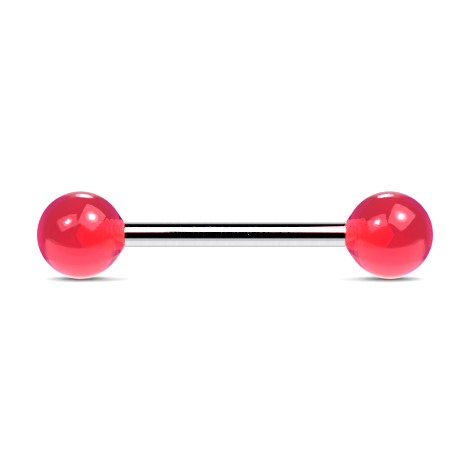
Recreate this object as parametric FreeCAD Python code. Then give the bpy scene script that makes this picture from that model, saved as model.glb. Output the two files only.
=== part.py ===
import FreeCAD, Part
import math
import os

# A straight tongue barbell, lying on a flat surface.
# Millimetres. +X runs along the bar, +Z is up, and the origin is on the surface, under the middle of the bar.

# The steel bar: 14 gauge, and 14 mm between its two shoulders.
BAR_DIAMETER = 1.63
BAR_LENGTH = 14.0
SHOULDER_ROUND = 0.06

# The right-hand thread on each end of the bar: a 60 degree profile with a flat crest of an eighth of the pitch.
THREAD_PITCH = 0.25
THREAD_DIAMETER = 1.40
THREAD_LENGTH = 1.50
THREAD_DEPTH = 0.613 * THREAD_PITCH
THREAD_CREST = THREAD_PITCH / 8
THREAD_FLANK_ANGLE = 30.0

# The thread's ridge is made with its foot this far inside the shaft, so that the two join as one solid.
RIDGE_OVERLAP = 0.01

# The acrylic balls. Each one draws in to a flat mouth, a little wider than the bar that meets it.
BALL_DIAMETER = 5.56
MOUTH_DIAMETER = 1.72
MOUTH_FROM_CENTRE = 2.763
MOUTH_GAP = 0.02

# The blind hole in each ball, measured from its mouth. Its outer part clears the bar's thread,
# and the rest is the hole that was drilled before it, down to the tip of a 118 degree drill.
BORE_DIAMETER = 1.46
BORE_DEPTH = 1.65
PILOT_DIAMETER = 1.17
PILOT_DEPTH = 2.63
DRILL_POINT_ANGLE = 118.0

BAR_RADIUS = BAR_DIAMETER / 2
THREAD_RADIUS = THREAD_DIAMETER / 2
THREAD_ROOT_RADIUS = THREAD_RADIUS - THREAD_DEPTH
BALL_RADIUS = BALL_DIAMETER / 2
SHOULDER_X = BAR_LENGTH / 2
MOUTH_X = SHOULDER_X + MOUTH_GAP
BALL_CENTRE_X = MOUTH_X + MOUTH_FROM_CENTRE
AXIS_HEIGHT = BALL_RADIUS

ORIGIN = FreeCAD.Vector(0, 0, 0)
ALONG_BAR = FreeCAD.Vector(1, 0, 0)
ACROSS = FreeCAD.Vector(0, 1, 0)
UP = FreeCAD.Vector(0, 0, 1)


def point(along, radius):
    """A point of a turned profile: its place along the bar's axis, and its distance from that axis."""
    return FreeCAD.Vector(along, 0, radius)


def line(start, end):
    return Part.LineSegment(point(*start), point(*end)).toShape()


def arc(start, middle, end):
    return Part.Arc(point(*start), point(*middle), point(*end)).toShape()


def turned(edges):
    """The solid that a closed profile sweeps in one turn about the bar's axis."""
    face = Part.Face(Part.Wire(edges))
    return face.revolve(ORIGIN, ALONG_BAR, 360)


def on_circle(centre, radius, degrees):
    angle = math.radians(degrees)
    return (centre[0] + radius * math.cos(angle), centre[1] + radius * math.sin(angle))


def other_end(shape):
    """A copy turned half way round about the vertical, so a right-hand thread stays right-handed."""
    copy = shape.copy()
    copy.rotate(ORIGIN, UP, 180)
    return copy


def on_surface(shape):
    """The shape, lifted from the bar's axis to where the balls rest on the surface."""
    lifted = shape.copy()
    lifted.translate(UP * AXIS_HEIGHT)
    return lifted


def thread_ridge():
    """The ridge of the right end's thread. It starts inside the shaft, and the end of its stub is chamfered."""
    slope = math.tan(math.radians(THREAD_FLANK_ANGLE))
    inner = THREAD_ROOT_RADIUS - RIDGE_OVERLAP
    inner_half = THREAD_CREST / 2 + (THREAD_RADIUS - inner) * slope
    section = [
        FreeCAD.Vector(inner, 0, -inner_half),
        FreeCAD.Vector(THREAD_RADIUS, 0, -THREAD_CREST / 2),
        FreeCAD.Vector(THREAD_RADIUS, 0, THREAD_CREST / 2),
        FreeCAD.Vector(inner, 0, inner_half),
    ]
    profile = Part.makePolygon(section + section[:1])
    helix = Part.makeHelix(THREAD_PITCH, THREAD_LENGTH + 2 * THREAD_PITCH, THREAD_RADIUS)
    ridge = Part.Wire(helix.Edges).makePipeShell([profile], True, True)
    ridge.rotate(ORIGIN, ACROSS, 90)
    ridge.translate(ALONG_BAR * (SHOULDER_X - THREAD_PITCH))
    return ridge.common(chamfered_stub())


def chamfered_stub():
    """A turned envelope, a little wider than the thread, that cuts the ridge off at the 45 degree end chamfer."""
    start = SHOULDER_X - THREAD_PITCH
    end = SHOULDER_X + THREAD_LENGTH
    wide = THREAD_RADIUS + RIDGE_OVERLAP
    corners = [
        (start, 0),
        (start, wide),
        (end - (wide - THREAD_ROOT_RADIUS), wide),
        (end, THREAD_ROOT_RADIUS),
        (end, 0),
    ]
    return turned([line(a, b) for a, b in zip(corners, corners[1:] + corners[:1])])


def bar():
    """One steel rod: the polished shaft, its rounded shoulders, and a threaded stub at each end."""
    stub_end = SHOULDER_X + THREAD_LENGTH
    round_x = SHOULDER_X - SHOULDER_ROUND
    round_radius = BAR_RADIUS - SHOULDER_ROUND
    right_round = (round_x, round_radius)
    left_round = (-round_x, round_radius)
    rod = turned([
        line((-stub_end, 0), (-stub_end, THREAD_ROOT_RADIUS)),
        line((-stub_end, THREAD_ROOT_RADIUS), (-SHOULDER_X, THREAD_ROOT_RADIUS)),
        line((-SHOULDER_X, THREAD_ROOT_RADIUS), (-SHOULDER_X, round_radius)),
        arc(*[on_circle(left_round, SHOULDER_ROUND, turn) for turn in (180, 135, 90)]),
        line((-round_x, BAR_RADIUS), (round_x, BAR_RADIUS)),
        arc(*[on_circle(right_round, SHOULDER_ROUND, turn) for turn in (90, 45, 0)]),
        line((SHOULDER_X, round_radius), (SHOULDER_X, THREAD_ROOT_RADIUS)),
        line((SHOULDER_X, THREAD_ROOT_RADIUS), (stub_end, THREAD_ROOT_RADIUS)),
        line((stub_end, THREAD_ROOT_RADIUS), (stub_end, 0)),
        line((stub_end, 0), (-stub_end, 0)),
    ])
    ridge = thread_ridge()
    return rod.fuse([ridge, other_end(ridge)]).removeSplitter()


def ball():
    """The right ball: a sphere that a cone, tangent to it, draws in to the mouth, with its blind hole."""
    mouth_radius = MOUTH_DIAMETER / 2
    bore_radius = BORE_DIAMETER / 2
    pilot_radius = PILOT_DIAMETER / 2
    bore_end = MOUTH_X + BORE_DEPTH
    pilot_end = MOUTH_X + PILOT_DEPTH
    drill_tip = pilot_end + pilot_radius / math.tan(math.radians(DRILL_POINT_ANGLE / 2))

    # Turned from the outer end of the ball's axis, the sphere stops where the cone to the mouth touches it.
    mouth_reach = math.hypot(MOUTH_FROM_CENTRE, mouth_radius)
    mouth_turn = 180 - math.degrees(math.atan2(mouth_radius, MOUTH_FROM_CENTRE))
    tangent_turn = mouth_turn - math.degrees(math.acos(BALL_RADIUS / mouth_reach))

    centre = (BALL_CENTRE_X, 0)
    outer_end = on_circle(centre, BALL_RADIUS, 0)
    crown = on_circle(centre, BALL_RADIUS, tangent_turn / 2)
    tangent = on_circle(centre, BALL_RADIUS, tangent_turn)
    hole = [
        tangent,
        (MOUTH_X, mouth_radius),
        (MOUTH_X, bore_radius),
        (bore_end, bore_radius),
        (bore_end, pilot_radius),
        (pilot_end, pilot_radius),
        (drill_tip, 0),
        outer_end,
    ]
    return turned([arc(outer_end, crown, tangent)] + [line(a, b) for a, b in zip(hole, hole[1:])])


def export(name, shape):
    solid = shape if shape.ShapeType == "Solid" else shape.Solids[0]
    if len(shape.Solids) != 1 or not solid.isValid():
        raise RuntimeError(f"{name} is not one valid solid")
    box = solid.BoundBox
    print(f"{name}: {solid.Volume:.3f} mm3, {box.XLength:.3f} x {box.YLength:.3f} x {box.ZLength:.3f} mm")
    solid.exportStep(f"parts/{name}.step")


os.makedirs("parts", exist_ok=True)
right_ball = ball()
export("bar", on_surface(bar()))
export("ball_right", on_surface(right_ball))
export("ball_left", on_surface(other_end(right_ball)))
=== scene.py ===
import bmesh
import bpy
import math
from mathutils import Matrix, Vector


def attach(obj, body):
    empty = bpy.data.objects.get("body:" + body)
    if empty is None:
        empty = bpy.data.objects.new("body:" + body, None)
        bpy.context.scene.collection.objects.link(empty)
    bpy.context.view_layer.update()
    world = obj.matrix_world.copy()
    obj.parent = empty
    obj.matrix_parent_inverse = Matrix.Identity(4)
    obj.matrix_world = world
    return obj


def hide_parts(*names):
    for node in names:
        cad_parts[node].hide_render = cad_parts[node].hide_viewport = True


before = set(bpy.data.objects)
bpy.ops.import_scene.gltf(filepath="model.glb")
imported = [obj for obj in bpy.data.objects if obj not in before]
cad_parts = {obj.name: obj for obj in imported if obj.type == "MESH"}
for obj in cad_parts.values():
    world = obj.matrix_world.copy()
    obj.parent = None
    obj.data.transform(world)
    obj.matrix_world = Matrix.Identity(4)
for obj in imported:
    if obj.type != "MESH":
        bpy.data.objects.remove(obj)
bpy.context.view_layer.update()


# The bar: one rod of 316L surgical steel, 14 gauge and 14 mm between its shoulders. It is turned from
# drawn rod, a right-hand thread is rolled on the stub at each end, and the shaft is polished on a mop
# until it mirrors.

MM = 0.001
AXIS_HEIGHT = 2.78 * MM
BAR_RADIUS = 0.815 * MM
SHOULDER_X = 7.0 * MM
SHOULDER_ROUND = 0.06 * MM
STUB_LENGTH = 1.5 * MM
PITCH = 0.25 * MM
THREAD_RADIUS = 0.70 * MM
ROOT_RADIUS = THREAD_RADIUS - 0.613 * PITCH
CREST_HALF = PITCH / 16
FLANK_SLOPE = math.tan(math.radians(30))
RIDGE_OVERLAP = 0.01 * MM
STUB_EDGE = 0.003 * MM
BAR_SIDES = 128
STEPS_A_TURN = 64
SHARP_EDGE = math.radians(32)
NEAR = 1e-7


def start(add, **settings):
    """Adds a primitive as the only selected object, and puts its place in its mesh."""
    bpy.ops.object.select_all(action="DESELECT")
    add(**settings)
    bpy.ops.object.transform_apply(location=True, rotation=True, scale=True)
    return bpy.context.object


def choose(kind, wanted):
    """In edit mode, selects the edges or faces whose vertices are all where wanted(spot) is true."""
    bpy.ops.mesh.select_mode(type=kind)
    bpy.ops.mesh.select_all(action="DESELECT")
    mesh = bpy.context.object.data
    form = bmesh.from_edit_mesh(mesh)
    for part in form.edges if kind == "EDGE" else form.faces:
        part.select_set(all(wanted(vertex.co) for vertex in part.verts))
    bmesh.update_edit_mesh(mesh)


def combine(piece, tool, operation):
    """Cuts, joins or trims a piece with a tool, which is then thrown away."""
    bpy.ops.object.select_all(action="DESELECT")
    bpy.context.view_layer.objects.active = piece
    piece.select_set(True)
    bpy.ops.object.modifier_add(type="BOOLEAN")
    modifier = piece.modifiers[-1]
    modifier.object = tool
    modifier.operation = operation
    modifier.solver = "EXACT"
    bpy.ops.object.modifier_apply(modifier=modifier.name)
    bpy.data.objects.remove(tool)
    return piece


def other_end(piece, name):
    """A copy with its own mesh, half a turn about the vertical, so its thread stays right-handed."""
    bpy.ops.object.select_all(action="DESELECT")
    piece.select_set(True)
    bpy.context.view_layer.objects.active = piece
    bpy.ops.object.duplicate(linked=False)
    copy = bpy.context.object
    bpy.ops.transform.rotate(value=math.pi, orient_axis="Z", center_override=(0, 0, 0))
    bpy.ops.object.transform_apply(location=True, rotation=True, scale=True)
    copy.name = copy.data.name = name
    return copy


def thread(inner, inner_half, outer, outer_half, length):
    """A closed helical ridge about the bar's axis, from a pitch before the right shoulder. It starts as
    a square plate, which is drawn to the ridge's section and wound up with a Screw modifier."""
    start_x = SHOULDER_X - PITCH
    ridge = start(
        bpy.ops.mesh.primitive_plane_add,
        size=outer - inner,
        location=(start_x, 0, -(outer + inner) / 2),
        rotation=(math.pi / 2, 0, 0),
    )
    bpy.ops.object.mode_set(mode="EDIT")
    for edge_radius, edge_half in ((inner, inner_half), (outer, outer_half)):
        choose("EDGE", lambda spot: abs(spot.z + edge_radius) < NEAR)
        bpy.ops.transform.resize(
            value=(2 * edge_half / (outer - inner), 1, 1),
            center_override=(start_x, 0, -edge_radius),
        )
    bpy.ops.mesh.select_all(action="SELECT")
    bpy.ops.mesh.delete(type="ONLY_FACE")
    bpy.ops.object.mode_set(mode="OBJECT")
    turns = length / PITCH
    bpy.ops.object.modifier_add(type="SCREW")
    wind = ridge.modifiers[-1]
    wind.axis = "X"
    wind.angle = 2 * math.pi * turns
    wind.screw_offset = length
    wind.steps = wind.render_steps = int(STEPS_A_TURN * turns)
    wind.use_smooth_shade = False
    bpy.ops.object.modifier_apply(modifier=wind.name)
    bpy.ops.object.mode_set(mode="EDIT")
    bpy.ops.mesh.select_all(action="SELECT")
    bpy.ops.mesh.fill_holes(sides=4)
    bpy.ops.mesh.normals_make_consistent(inside=False)
    bpy.ops.transform.translate(value=(0, 0, AXIS_HEIGHT))
    bpy.ops.object.mode_set(mode="OBJECT")
    return ridge


def ridge_half(from_axis):
    """Half the width of the bar's thread ridge at a distance from the axis."""
    return CREST_HALF + (THREAD_RADIUS - from_axis) * FLANK_SLOPE


def finish_form(piece, name):
    """Closes the last gaps, points the faces outwards and shades them smooth up to the real edges."""
    bpy.ops.object.select_all(action="DESELECT")
    piece.select_set(True)
    bpy.context.view_layer.objects.active = piece
    bpy.ops.object.mode_set(mode="EDIT")
    bpy.ops.mesh.select_all(action="SELECT")
    bpy.ops.mesh.remove_doubles(threshold=NEAR / 10)
    bpy.ops.mesh.normals_make_consistent(inside=False)
    bpy.ops.object.mode_set(mode="OBJECT")
    bpy.ops.object.shade_smooth_by_angle(angle=SHARP_EDGE)
    piece.name = piece.data.name = name


bar = start(
    bpy.ops.mesh.primitive_cylinder_add,
    vertices=BAR_SIDES,
    radius=BAR_RADIUS,
    depth=2 * SHOULDER_X,
    location=(0, 0, AXIS_HEIGHT),
    rotation=(0, math.pi / 2, 0),
)
bpy.ops.object.mode_set(mode="EDIT")
for end in (1, -1):
    choose("EDGE", lambda spot: end * spot.x > SHOULDER_X - NEAR)
    bpy.ops.mesh.bevel(offset=SHOULDER_ROUND, segments=6, affect="EDGES", clamp_overlap=False)
choose("FACE", lambda spot: abs(spot.x) > SHOULDER_X - NEAR)
bpy.ops.mesh.inset(thickness=BAR_RADIUS - SHOULDER_ROUND - ROOT_RADIUS)
bpy.ops.mesh.extrude_region_shrink_fatten(TRANSFORM_OT_shrink_fatten={"value": STUB_LENGTH})
bpy.ops.object.mode_set(mode="OBJECT")

# The ridge is trimmed to its crest, and tapers off a hair short of the stub's end.
ridge_inner = ROOT_RADIUS - RIDGE_OVERLAP
male_ridge = thread(
    ridge_inner, ridge_half(ridge_inner), THREAD_RADIUS, CREST_HALF, STUB_LENGTH + 2 * PITCH
)
envelope_radius = THREAD_RADIUS + RIDGE_OVERLAP
envelope = start(
    bpy.ops.mesh.primitive_cylinder_add,
    vertices=64,
    radius=envelope_radius,
    depth=STUB_LENGTH + PITCH,
    location=(SHOULDER_X + (STUB_LENGTH - PITCH) / 2 - STUB_EDGE, 0, AXIS_HEIGHT),
    rotation=(0, math.pi / 2, 0),
)
bpy.ops.object.mode_set(mode="EDIT")
choose("EDGE", lambda spot: spot.x > SHOULDER_X + STUB_LENGTH - 2 * STUB_EDGE)
bpy.ops.mesh.bevel(
    offset=envelope_radius - ROOT_RADIUS - STUB_EDGE,
    segments=1,
    affect="EDGES",
    clamp_overlap=False,
)
bpy.ops.object.mode_set(mode="OBJECT")
male_ridge = combine(male_ridge, envelope, "INTERSECT")
left_ridge = other_end(male_ridge, "left_ridge")
left_ridge.select_set(True)
male_ridge.select_set(True)
bpy.context.view_layer.objects.active = male_ridge
bpy.ops.object.join()
bar = combine(bar, male_ridge, "UNION")
finish_form(bar, "steel_bar")


def colour(hex_value):
    """An sRGB hex colour as the linear colour that a shader takes."""
    shares = [int(hex_value[i:i + 2], 16) / 255 for i in (0, 2, 4)]
    return [s / 12.92 if s <= 0.04045 else ((s + 0.055) / 1.055) ** 2.4 for s in shares] + [1]


def node(tree, kind, inputs, **settings):
    """Adds a node with its settings, and gives each input its value or a link to another output."""
    added = tree.nodes.new("ShaderNode" + kind)
    for name, value in settings.items():
        setattr(added, name, value)
    for name, value in inputs.items():
        if isinstance(value, bpy.types.NodeSocket):
            tree.links.new(value, added.inputs[name])
        else:
            added.inputs[name].default_value = value
    return added


def new_material(name):
    material = bpy.data.materials.new(name)
    material.use_nodes = True
    material.node_tree.nodes.clear()
    return material, material.node_tree


# Polished stainless steel. The mop runs round the shaft, so its marks are fine rings a few hundredths
# of a millimetre apart. They are drawn at 0.09 mm, as fine as the render shows, and only take the edge
# off the mirror.
RING_WIDTH = 0.09 * MM
RING_LENGTH = 1.5 * MM
HAZE_SIZE = 1.2 * MM
BUMP_HEIGHT = 0.01 * MM

polished_steel, tree = new_material("polished_316l_steel")
on_bar = node(tree, "TexCoord", {}).outputs["Object"]
along = node(
    tree, "Mapping", {"Vector": on_bar, "Scale": (1 / RING_WIDTH, 1 / RING_LENGTH, 1 / RING_LENGTH)}
)
rings = node(
    tree, "TexNoise", {"Vector": along.outputs[0], "Scale": 1.0, "Detail": 3.0, "Roughness": 0.6}
)
hazes = node(tree, "TexNoise", {"Vector": on_bar, "Scale": 1 / HAZE_SIZE, "Detail": 2.0})
steel_tone = node(
    tree, "Mix",
    {"Factor": rings.outputs["Fac"], 6: colour("C9C8CD"), 7: colour("D5D4D9")},
    data_type="RGBA",
)
steel_roughness = node(
    tree, "MapRange",
    {"Value": hazes.outputs["Fac"], "From Min": 0.3, "From Max": 0.7, "To Min": 0.03, "To Max": 0.06},
)
steel_bump = node(
    tree, "Bump", {"Height": rings.outputs["Fac"], "Strength": 0.04, "Distance": BUMP_HEIGHT}
)
steel = node(
    tree, "BsdfPrincipled",
    {
        "Base Color": steel_tone.outputs[2],
        "Metallic": 1.0,
        "Roughness": steel_roughness.outputs[0],
        "Normal": steel_bump.outputs[0],
    },
)
node(tree, "OutputMaterial", {"Surface": steel.outputs[0]})

bar.data.materials.clear()
bar.data.materials.append(polished_steel)
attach(bar, "bar")
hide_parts("bar")


# The balls: two solid spheres of cast acrylic, 5.56 mm across, dyed red right through. Each is turned
# down to a flat mouth as wide as the bar, drilled blind to its middle, tapped to fit the bar's thread,
# and tumbled clear.

BALL_RADIUS = 2.78 * MM
MOUTH_RADIUS = 0.86 * MM
MOUTH_X = 7.02 * MM
BALL_CENTRE_X = 9.783 * MM
COUNTERSINK_RADIUS = 0.76 * MM
TAP_RADIUS = 0.73 * MM
TAP_DEPTH = 1.65 * MM
TAP_PLAY = 0.012 * MM
PILOT_RADIUS = 0.585 * MM
PILOT_DEPTH = 2.63 * MM
DRILL_HALF_ANGLE = math.radians(59)
DRILL_TIP_SHARE = 0.02
FROSTED_RADIUS = 0.775 * MM
FROSTED_REACH = 10.2 * MM

# The cone from the mouth touches the sphere on this circle.
mouth_reach = math.hypot(BALL_CENTRE_X - MOUTH_X, MOUTH_RADIUS)
tangent_turn = (
    math.atan2(MOUTH_RADIUS, BALL_CENTRE_X - MOUTH_X) + math.acos(BALL_RADIUS / mouth_reach)
)
tangent_x = BALL_CENTRE_X - BALL_RADIUS * math.cos(tangent_turn)
tangent_radius = BALL_RADIUS * math.sin(tangent_turn)

ball_right = start(
    bpy.ops.mesh.primitive_uv_sphere_add,
    segments=160,
    ring_count=100,
    radius=BALL_RADIUS,
    location=(BALL_CENTRE_X, 0, AXIS_HEIGHT),
    rotation=(0, math.pi / 2, 0),
)
bpy.ops.object.mode_set(mode="EDIT")
bpy.ops.mesh.select_all(action="SELECT")
bpy.ops.mesh.bisect(plane_co=(tangent_x, 0, 0), plane_no=(1, 0, 0), clear_inner=True, threshold=NEAR)
choose("EDGE", lambda spot: spot.x < tangent_x + NEAR)
drill_tip = (1 - DRILL_TIP_SHARE) * PILOT_RADIUS / math.tan(DRILL_HALF_ANGLE)
stations = [
    (MOUTH_X, MOUTH_RADIUS),
    (MOUTH_X, COUNTERSINK_RADIUS),
    (MOUTH_X + COUNTERSINK_RADIUS - PILOT_RADIUS, PILOT_RADIUS),
    (MOUTH_X + PILOT_DEPTH, PILOT_RADIUS),
    (MOUTH_X + PILOT_DEPTH + drill_tip, DRILL_TIP_SHARE * PILOT_RADIUS),
]
last_x, last_radius = tangent_x, tangent_radius
for station_x, station_radius in stations:
    bpy.ops.mesh.extrude_region_move(TRANSFORM_OT_translate={"value": (station_x - last_x, 0, 0)})
    shrink = station_radius / last_radius
    bpy.ops.transform.resize(
        value=(1, shrink, shrink), center_override=(station_x, 0, AXIS_HEIGHT)
    )
    last_x, last_radius = station_x, station_radius
bpy.ops.mesh.merge(type="CENTER")
bpy.ops.object.mode_set(mode="OBJECT")

tap = thread(
    PILOT_RADIUS - RIDGE_OVERLAP,
    ridge_half(PILOT_RADIUS - RIDGE_OVERLAP) + TAP_PLAY,
    TAP_RADIUS,
    ridge_half(TAP_RADIUS) + TAP_PLAY,
    TAP_DEPTH + PITCH,
)
ball_right = combine(ball_right, tap, "DIFFERENCE")
finish_form(ball_right, "acrylic_ball_right")

# Dyed cast acrylic. The dye takes out green and blue within a millimetre or two, so the ball is deep
# red through its middle and pink where it is thin. Tumbling leaves a faint waviness and hairlines,
# drawn at 0.1 mm so that they show.
WAVE_SIZE = 0.9 * MM
HAIRLINE_SIZE = 0.1 * MM
FROSTED_ROUGHNESS = 0.6
PAINTED_GLOW_STRENGTH = 0.36

tinted_acrylic, tree = new_material("tinted_cast_acrylic")
on_ball = node(tree, "TexCoord", {}).outputs["Object"]
waves = node(tree, "TexNoise", {"Vector": on_ball, "Scale": 1 / WAVE_SIZE, "Detail": 1.0})
hairlines = node(
    tree, "TexNoise",
    {"Vector": on_ball, "Scale": 1 / HAIRLINE_SIZE, "Detail": 2.0, "Distortion": 0.6},
)
tumbled_roughness = node(
    tree, "MapRange",
    {
        "Value": hairlines.outputs["Fac"],
        "From Min": 0.35, "From Max": 0.75, "To Min": 0.0, "To Max": 0.03,
    },
)
# The drill and the tap leave the hole's wall frosted. It scatters the light many times, which the
# render doesn't follow into the acrylic, so the wall is given a painted glow: a little red emission
# that stands in for that scattered light.
off_axis = node(
    tree, "Mapping", {"Vector": on_ball, "Location": (0, 0, -AXIS_HEIGHT), "Scale": (0, 1, 1)}
)
from_axis = node(tree, "VectorMath", {0: off_axis.outputs[0]}, operation="LENGTH").outputs["Value"]
on_axis = node(tree, "Mapping", {"Vector": on_ball, "Scale": (1, 0, 0)})
from_middle = node(tree, "VectorMath", {0: on_axis.outputs[0]}, operation="LENGTH").outputs["Value"]
in_bore = node(tree, "Math", {0: from_axis, 1: FROSTED_RADIUS}, operation="LESS_THAN").outputs[0]
in_reach = node(tree, "Math", {0: from_middle, 1: FROSTED_REACH}, operation="LESS_THAN").outputs[0]
frosted = node(tree, "Math", {0: in_bore, 1: in_reach}, operation="MULTIPLY").outputs[0]
acrylic_roughness = node(
    tree, "Mix", {"Factor": frosted, 2: tumbled_roughness.outputs[0], 3: FROSTED_ROUGHNESS}
)
acrylic_bump = node(
    tree, "Bump", {"Height": waves.outputs["Fac"], "Strength": 0.03, "Distance": BUMP_HEIGHT}
)
acrylic_tint = node(
    tree, "Mix", {"Factor": frosted, 6: colour("FFFFFF"), 7: colour("FFA89C")}, data_type="RGBA"
)
# Painted glow: a red emission on the frosted wall only, standing in for light scattered in the acrylic.
painted_wall_glow = node(
    tree, "Mix", {"Factor": frosted, 6: colour("000000"), 7: colour("FF2A34")}, data_type="RGBA"
)
acrylic = node(
    tree, "BsdfPrincipled",
    {
        "Base Color": acrylic_tint.outputs[2],
        "Roughness": acrylic_roughness.outputs[0],
        "Normal": acrylic_bump.outputs[0],
        "IOR": 1.49,
        "Transmission Weight": 1.0,
        "Specular Tint": colour("FFDCEA"),
        "Emission Color": painted_wall_glow.outputs[2],
        "Emission Strength": PAINTED_GLOW_STRENGTH,
    },
)
dye = node(tree, "VolumeAbsorption", {"Color": colour("FE3992"), "Density": 690.0})
node(tree, "OutputMaterial", {"Surface": acrylic.outputs[0], "Volume": dye.outputs[0]})

ball_right.data.materials.clear()
ball_right.data.materials.append(tinted_acrylic)
ball_left = other_end(ball_right, "acrylic_ball_left")
for ball, side in ((ball_right, "ball_right"), (ball_left, "ball_left")):
    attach(ball, side)
    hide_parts(side)


# The studio: a matt white table that runs to the horizon, two softboxes over the photographer's
# shoulders, a small one above and behind, and dark cards round the lens, which give the polished steel
# its black stripes.

CAMERA_DISTANCE = 0.30
CAMERA_ELEVATION = math.radians(5.0)
FRAME_WIDTH = 29.75 * MM
FRAME_DROP = 0.0006
SENSOR_WIDTH = 36.0
TABLE_SIZE = 8.0
TABLE_SHEEN = 0.03

bpy.ops.object.select_all(action="DESELECT")
bpy.ops.mesh.primitive_plane_add(size=TABLE_SIZE, location=(0, 0, 0))
table = bpy.context.object
table.name = "table"
white_table, tree = new_material("white_table")
matt = node(tree, "BsdfDiffuse", {"Color": colour("F4F4F4")})
sheen = node(tree, "BsdfGlossy", {"Color": colour("FFFFFF"), "Roughness": 0.05})
table_mix = node(tree, "MixShader", {0: TABLE_SHEEN, 1: matt.outputs[0], 2: sheen.outputs[0]})
node(tree, "OutputMaterial", {"Surface": table_mix.outputs[0]})
table.data.materials.append(white_table)
table.visible_glossy = table.visible_transmission = False


def from_camera(direction):
    """A direction of the photograph, x right, y away and z up, as a direction of the world."""
    x, y, z = direction
    away = y * math.cos(CAMERA_ELEVATION) + z * math.sin(CAMERA_ELEVATION)
    up = z * math.cos(CAMERA_ELEVATION) - y * math.sin(CAMERA_ELEVATION)
    return Vector((x, away, up))


def softbox(
    name, middle, across, distance, width, height, brightness, shape="ELLIPSE", tint="FFFFFF"
):
    """A lamp that faces the object, seen only as a reflection. Its middle is a direction from the
    object, its sides are shares of its distance, and the white table has a brightness of 1."""
    towards = from_camera(middle).normalized()
    side = from_camera(across)
    side = (side - side.dot(towards) * towards).normalized()
    up = towards.cross(side)
    bpy.ops.object.light_add(type="AREA", location=towards * distance + Vector((0, 0, AXIS_HEIGHT)))
    lamp = bpy.context.object
    lamp.name = name
    lamp.rotation_euler = Matrix((side, up, towards)).transposed().to_euler()
    lamp.data.shape = shape
    lamp.data.size = width * distance
    lamp.data.size_y = height * distance
    lamp.data.color = colour(tint)[:3]
    area = lamp.data.size * lamp.data.size_y * (math.pi / 4 if shape == "ELLIPSE" else 1)
    lamp.data.energy = brightness * math.pi * area
    lamp.visible_diffuse = lamp.visible_transmission = False
    return lamp


def light_only(pieces, lamps):
    """Keeps some lamps to some pieces, as flags and cards in a studio do."""
    lit = bpy.data.collections.new("lit_by_" + lamps[0].name)
    for piece in pieces:
        lit.objects.link(piece)
    for lamp in lamps:
        lamp.light_linking.receiver_collection = lit


# The two softboxes, each with its bulb and the flare round the bulb. The acrylic returns them pink.
OVER_RIGHT, RIGHT_SIDE = (0.461, -0.524, 0.716), (0.84, 0, -0.54)
OVER_LEFT, LEFT_SIDE = (-0.523, -0.672, 0.523), (-0.84, 0.31, -0.44)
PINK = "FFA6B2"
softbox("softbox_right", OVER_RIGHT, RIGHT_SIDE, 0.45, 0.93, 1.30, 7.6, "RECTANGLE", PINK)
softbox("bulb_right", OVER_RIGHT, RIGHT_SIDE, 0.44, 0.30, 0.30, 24.0)
softbox("flare_right", OVER_RIGHT, RIGHT_SIDE, 0.445, 0.56, 0.56, 6.0)
softbox("softbox_left", OVER_LEFT, LEFT_SIDE, 0.55, 0.89, 0.62, 5.6, "RECTANGLE", PINK)
softbox("bulb_left", OVER_LEFT, LEFT_SIDE, 0.54, 0.24, 0.18, 24.0)
softbox("flare_left", OVER_LEFT, LEFT_SIDE, 0.545, 0.42, 0.34, 5.0)

# The small lamp above and behind, the lit table below the balls, and a violet card at each side behind
# them, which their rims mirror. The bar sees none of these, but mirrors the gap between the softboxes.
ACROSS = (1, 0, 0)
ABOVE = (0, 0.579, 0.812)
BELOW = (0, 0.62, -0.78)
VIOLET = "A030B3"
light_only([ball_left, ball_right], [
    softbox("softbox_top", ABOVE, ACROSS, 0.14, 0.36, 0.34, 8.0, tint="FFD2FF"),
    softbox("bulb_top", ABOVE, ACROSS, 0.137, 0.17, 0.18, 16.0),
    softbox("table_glow", BELOW, ACROSS, 0.20, 1.75, 1.75, 0.6),
    softbox("table_glow_core", BELOW, ACROSS, 0.20, 1.25, 1.25, 0.8),
    softbox("violet_card_right", (0.64, 0.77, 0), (-0.77, 0.64, 0), 0.12, 1.1, 2.4, 1.1, tint=VIOLET),
    softbox("violet_card_left", (-0.64, 0.77, 0), (0.77, 0.64, 0), 0.12, 1.1, 2.4, 1.1, tint=VIOLET),
])
light_only([bar], [
    softbox("softbox_gap", (0, -0.649, 0.760), ACROSS, 0.45, 0.50, 0.61, 4.0, "RECTANGLE"),
])

world = bpy.data.worlds.new("studio")
bpy.context.scene.world = world
world.use_nodes = True
tree = world.node_tree
tree.nodes.clear()
world.cycles.sampling_method = "NONE"
outwards = node(tree, "SeparateXYZ", {"Vector": node(tree, "TexCoord", {}).outputs["Generated"]})
sideways = node(tree, "Math", {0: outwards.outputs["X"]}, operation="ABSOLUTE").outputs[0]
forwards = node(tree, "Math", {0: outwards.outputs["Y"], 1: -1.0}, operation="MULTIPLY")
round_bar = node(
    tree, "Math", {0: outwards.outputs["Z"], 1: forwards.outputs[0]}, operation="ARCTAN2"
)
round_share = node(
    tree, "MapRange",
    {"Value": round_bar.outputs[0], "From Min": -math.pi, "From Max": math.pi},
)
up, away = outwards.outputs["Z"], outwards.outputs["Y"]

# What the steel and the balls mirror: a strip of lit table below and a lit screen behind, each given as
# brightness by degrees round the bar, up from the lens, over the top and on to the back. All the rest
# is dark. What shows through the balls has two dimmer sides, given by how far aside they are.
BRIGHTEST = 4.0
TABLE_STRIP = [
    (-185, 0), (-152, 0), (-144, 0.8), (-128, 0.8), (-114, 1.2),
    (-105, 1.3), (-61, 1.3), (-58, 0.9), (-37, 0.9), (-33, 0),
]
TABLE_BACK = [(-185, 1.3), (-152, 1.3), (-144, 0)]
SCREEN = [(-185, 1), (-165, 0), (115, 0), (119, 0.95), (140, 0.9), (175, 1)]
SIDES = [(0, 0.76), (0.35, 0.68), (0.66, 0.63), (0.85, 0.86), (0.9, 1.0)]


def round_the_bar(bands):
    """Degrees from the lens as shares of a whole turn, and brightness as shares of the brightest."""
    return [
        (min(1, (degrees + math.degrees(CAMERA_ELEVATION) + 180) / 360), brightness / BRIGHTEST)
        for degrees, brightness in bands
    ]


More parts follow.
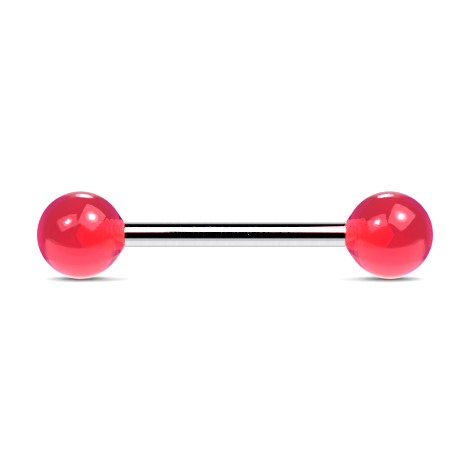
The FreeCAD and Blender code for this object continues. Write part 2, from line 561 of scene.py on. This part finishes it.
ramps = []
for along, stops in (
    (round_share.outputs[0], round_the_bar(TABLE_STRIP)),
    (round_share.outputs[0], round_the_bar(TABLE_BACK)),
    (round_share.outputs[0], round_the_bar(SCREEN)),
    (sideways, SIDES),
):
    ramp = node(tree, "ValToRGB", {"Fac": along})
    elements = ramp.color_ramp.elements
    for index, (share, grey) in enumerate(stops):
        stop = elements[index] if index < 2 else elements.new(share)
        stop.position = share
        stop.color = (grey, grey, grey, 1)
    ramps.append(ramp.outputs["Color"])
table_strip, table_back, screen, sides = ramps

# Between the sides, a bright window shows low behind the balls. Its sill sags towards its ends. The
# light that comes through the hole is from the bright room, high and in front. The table is lit by the
# whole room, which is brighter behind, so that the balls' soft shadows fall forwards.
WINDOW_HALF = 0.63
WINDOW_SILL = 0.13
WINDOW_BLUR = 0.015
WINDOW_BRIGHTNESS = 0.50
ROOM_BRIGHTNESS = 2.4
ROOM_IN_FRONT, ROOM_BEHIND = 1.15, 3.15
INSIDE_GLOW = 0.2
width_share = node(tree, "Math", {0: sideways, 1: WINDOW_HALF}, operation="DIVIDE")
sag = node(tree, "Math", {0: width_share.outputs[0], 1: 2.0}, operation="POWER")
over_sill = node(tree, "Math", {0: sag.outputs[0], 1: WINDOW_SILL, 2: up}, operation="MULTIPLY_ADD")

# Each of these goes smoothly from one number to another while a value goes from low to high.
fades = []
for value, low, high, at_low, at_high in (
    (up, -0.20, -0.08, 1, 0),
    (sideways, 0.12, 0.30, 1, 0),
    (over_sill.outputs[0], WINDOW_SILL - WINDOW_BLUR, WINDOW_SILL + WINDOW_BLUR, 0, 1),
    (sideways, WINDOW_HALF - 0.04, WINDOW_HALF + 0.02, 1, 0),
    (away, -0.4, 0.1, 1, 0),
    (up, 0.25, 0.6, 0, 1),
    (away, -0.9, 0.9, ROOM_IN_FRONT, ROOM_BEHIND),
):
    faded = node(
        tree, "MapRange",
        {"Value": value, "From Min": low, "From Max": high, "To Min": at_low, "To Max": at_high},
        interpolation_type="SMOOTHSTEP",
    )
    fades.append(faded.outputs[0])
below, amidst, above_sill, in_window, in_front, above, room_strength = fades

# The steel that is seen through a ball also mirrors the light inside the ball.
seen_by = node(tree, "LightPath", {})
through_ball = node(
    tree, "Math", {0: seen_by.outputs["Transmission Depth"], 1: 0.5}, operation="GREATER_THAN"
)
strip = node(tree, "Math", {0: table_strip, 1: below}, operation="MULTIPLY")
behind = node(tree, "Math", {0: screen, 1: table_back}, operation="ADD")
outside = node(
    tree, "Math", {0: behind.outputs[0], 1: amidst, 2: strip.outputs[0]}, operation="MULTIPLY_ADD"
)
mirrored = node(
    tree, "Math",
    {0: through_ball.outputs[0], 1: INSIDE_GLOW, 2: outside.outputs[0]},
    operation="MULTIPLY_ADD",
)
window = node(tree, "Math", {0: above_sill, 1: in_window}, operation="MULTIPLY")
room = node(tree, "Math", {0: in_front, 1: above}, operation="MULTIPLY")
window_and_sides = node(
    tree, "Math", {0: window.outputs[0], 1: WINDOW_BRIGHTNESS, 2: sides}, operation="MULTIPLY_ADD"
)
through = node(
    tree, "Math",
    {0: room.outputs[0], 1: ROOM_BRIGHTNESS, 2: window_and_sides.outputs[0]},
    operation="MULTIPLY_ADD",
)
mirrored_light = node(tree, "Background", {"Color": mirrored.outputs[0], "Strength": BRIGHTEST})
through_light = node(tree, "Background", {"Color": through.outputs[0]})
room_light = node(tree, "Background", {"Color": colour("FFFFFF"), "Strength": room_strength})
seen_plain = node(
    tree, "MixShader",
    {0: seen_by.outputs["Is Glossy Ray"], 1: room_light.outputs[0], 2: mirrored_light.outputs[0]},
)
seen = node(
    tree, "MixShader",
    {0: seen_by.outputs["Is Transmission Ray"], 1: seen_plain.outputs[0], 2: through_light.outputs[0]},
)
node(tree, "OutputWorld", {"Surface": seen.outputs[0]})

scene = bpy.context.scene
scene.view_settings.view_transform = "Standard"
scene.view_settings.look = "None"
scene.cycles.caustics_reflective = False
scene.cycles.caustics_refractive = False
scene.cycles.max_bounces = 32
scene.cycles.transmission_bounces = 32
scene.cycles.glossy_bounces = 16

# The camera: a long lens, a hand's width above the table, level with the photograph's middle.
lens_place = Vector((
    0,
    -CAMERA_DISTANCE * math.cos(CAMERA_ELEVATION),
    AXIS_HEIGHT + CAMERA_DISTANCE * math.sin(CAMERA_ELEVATION),
))
bpy.ops.object.camera_add(location=lens_place, rotation=(math.pi / 2 - CAMERA_ELEVATION, 0, 0))
camera = bpy.context.object
camera.name = "camera"
camera.data.sensor_width = SENSOR_WIDTH
camera.data.lens = SENSOR_WIDTH * CAMERA_DISTANCE / FRAME_WIDTH
camera.data.shift_y = -FRAME_DROP
camera.data.clip_start = 0.005
camera.data.clip_end = 50.0
scene.camera = camera
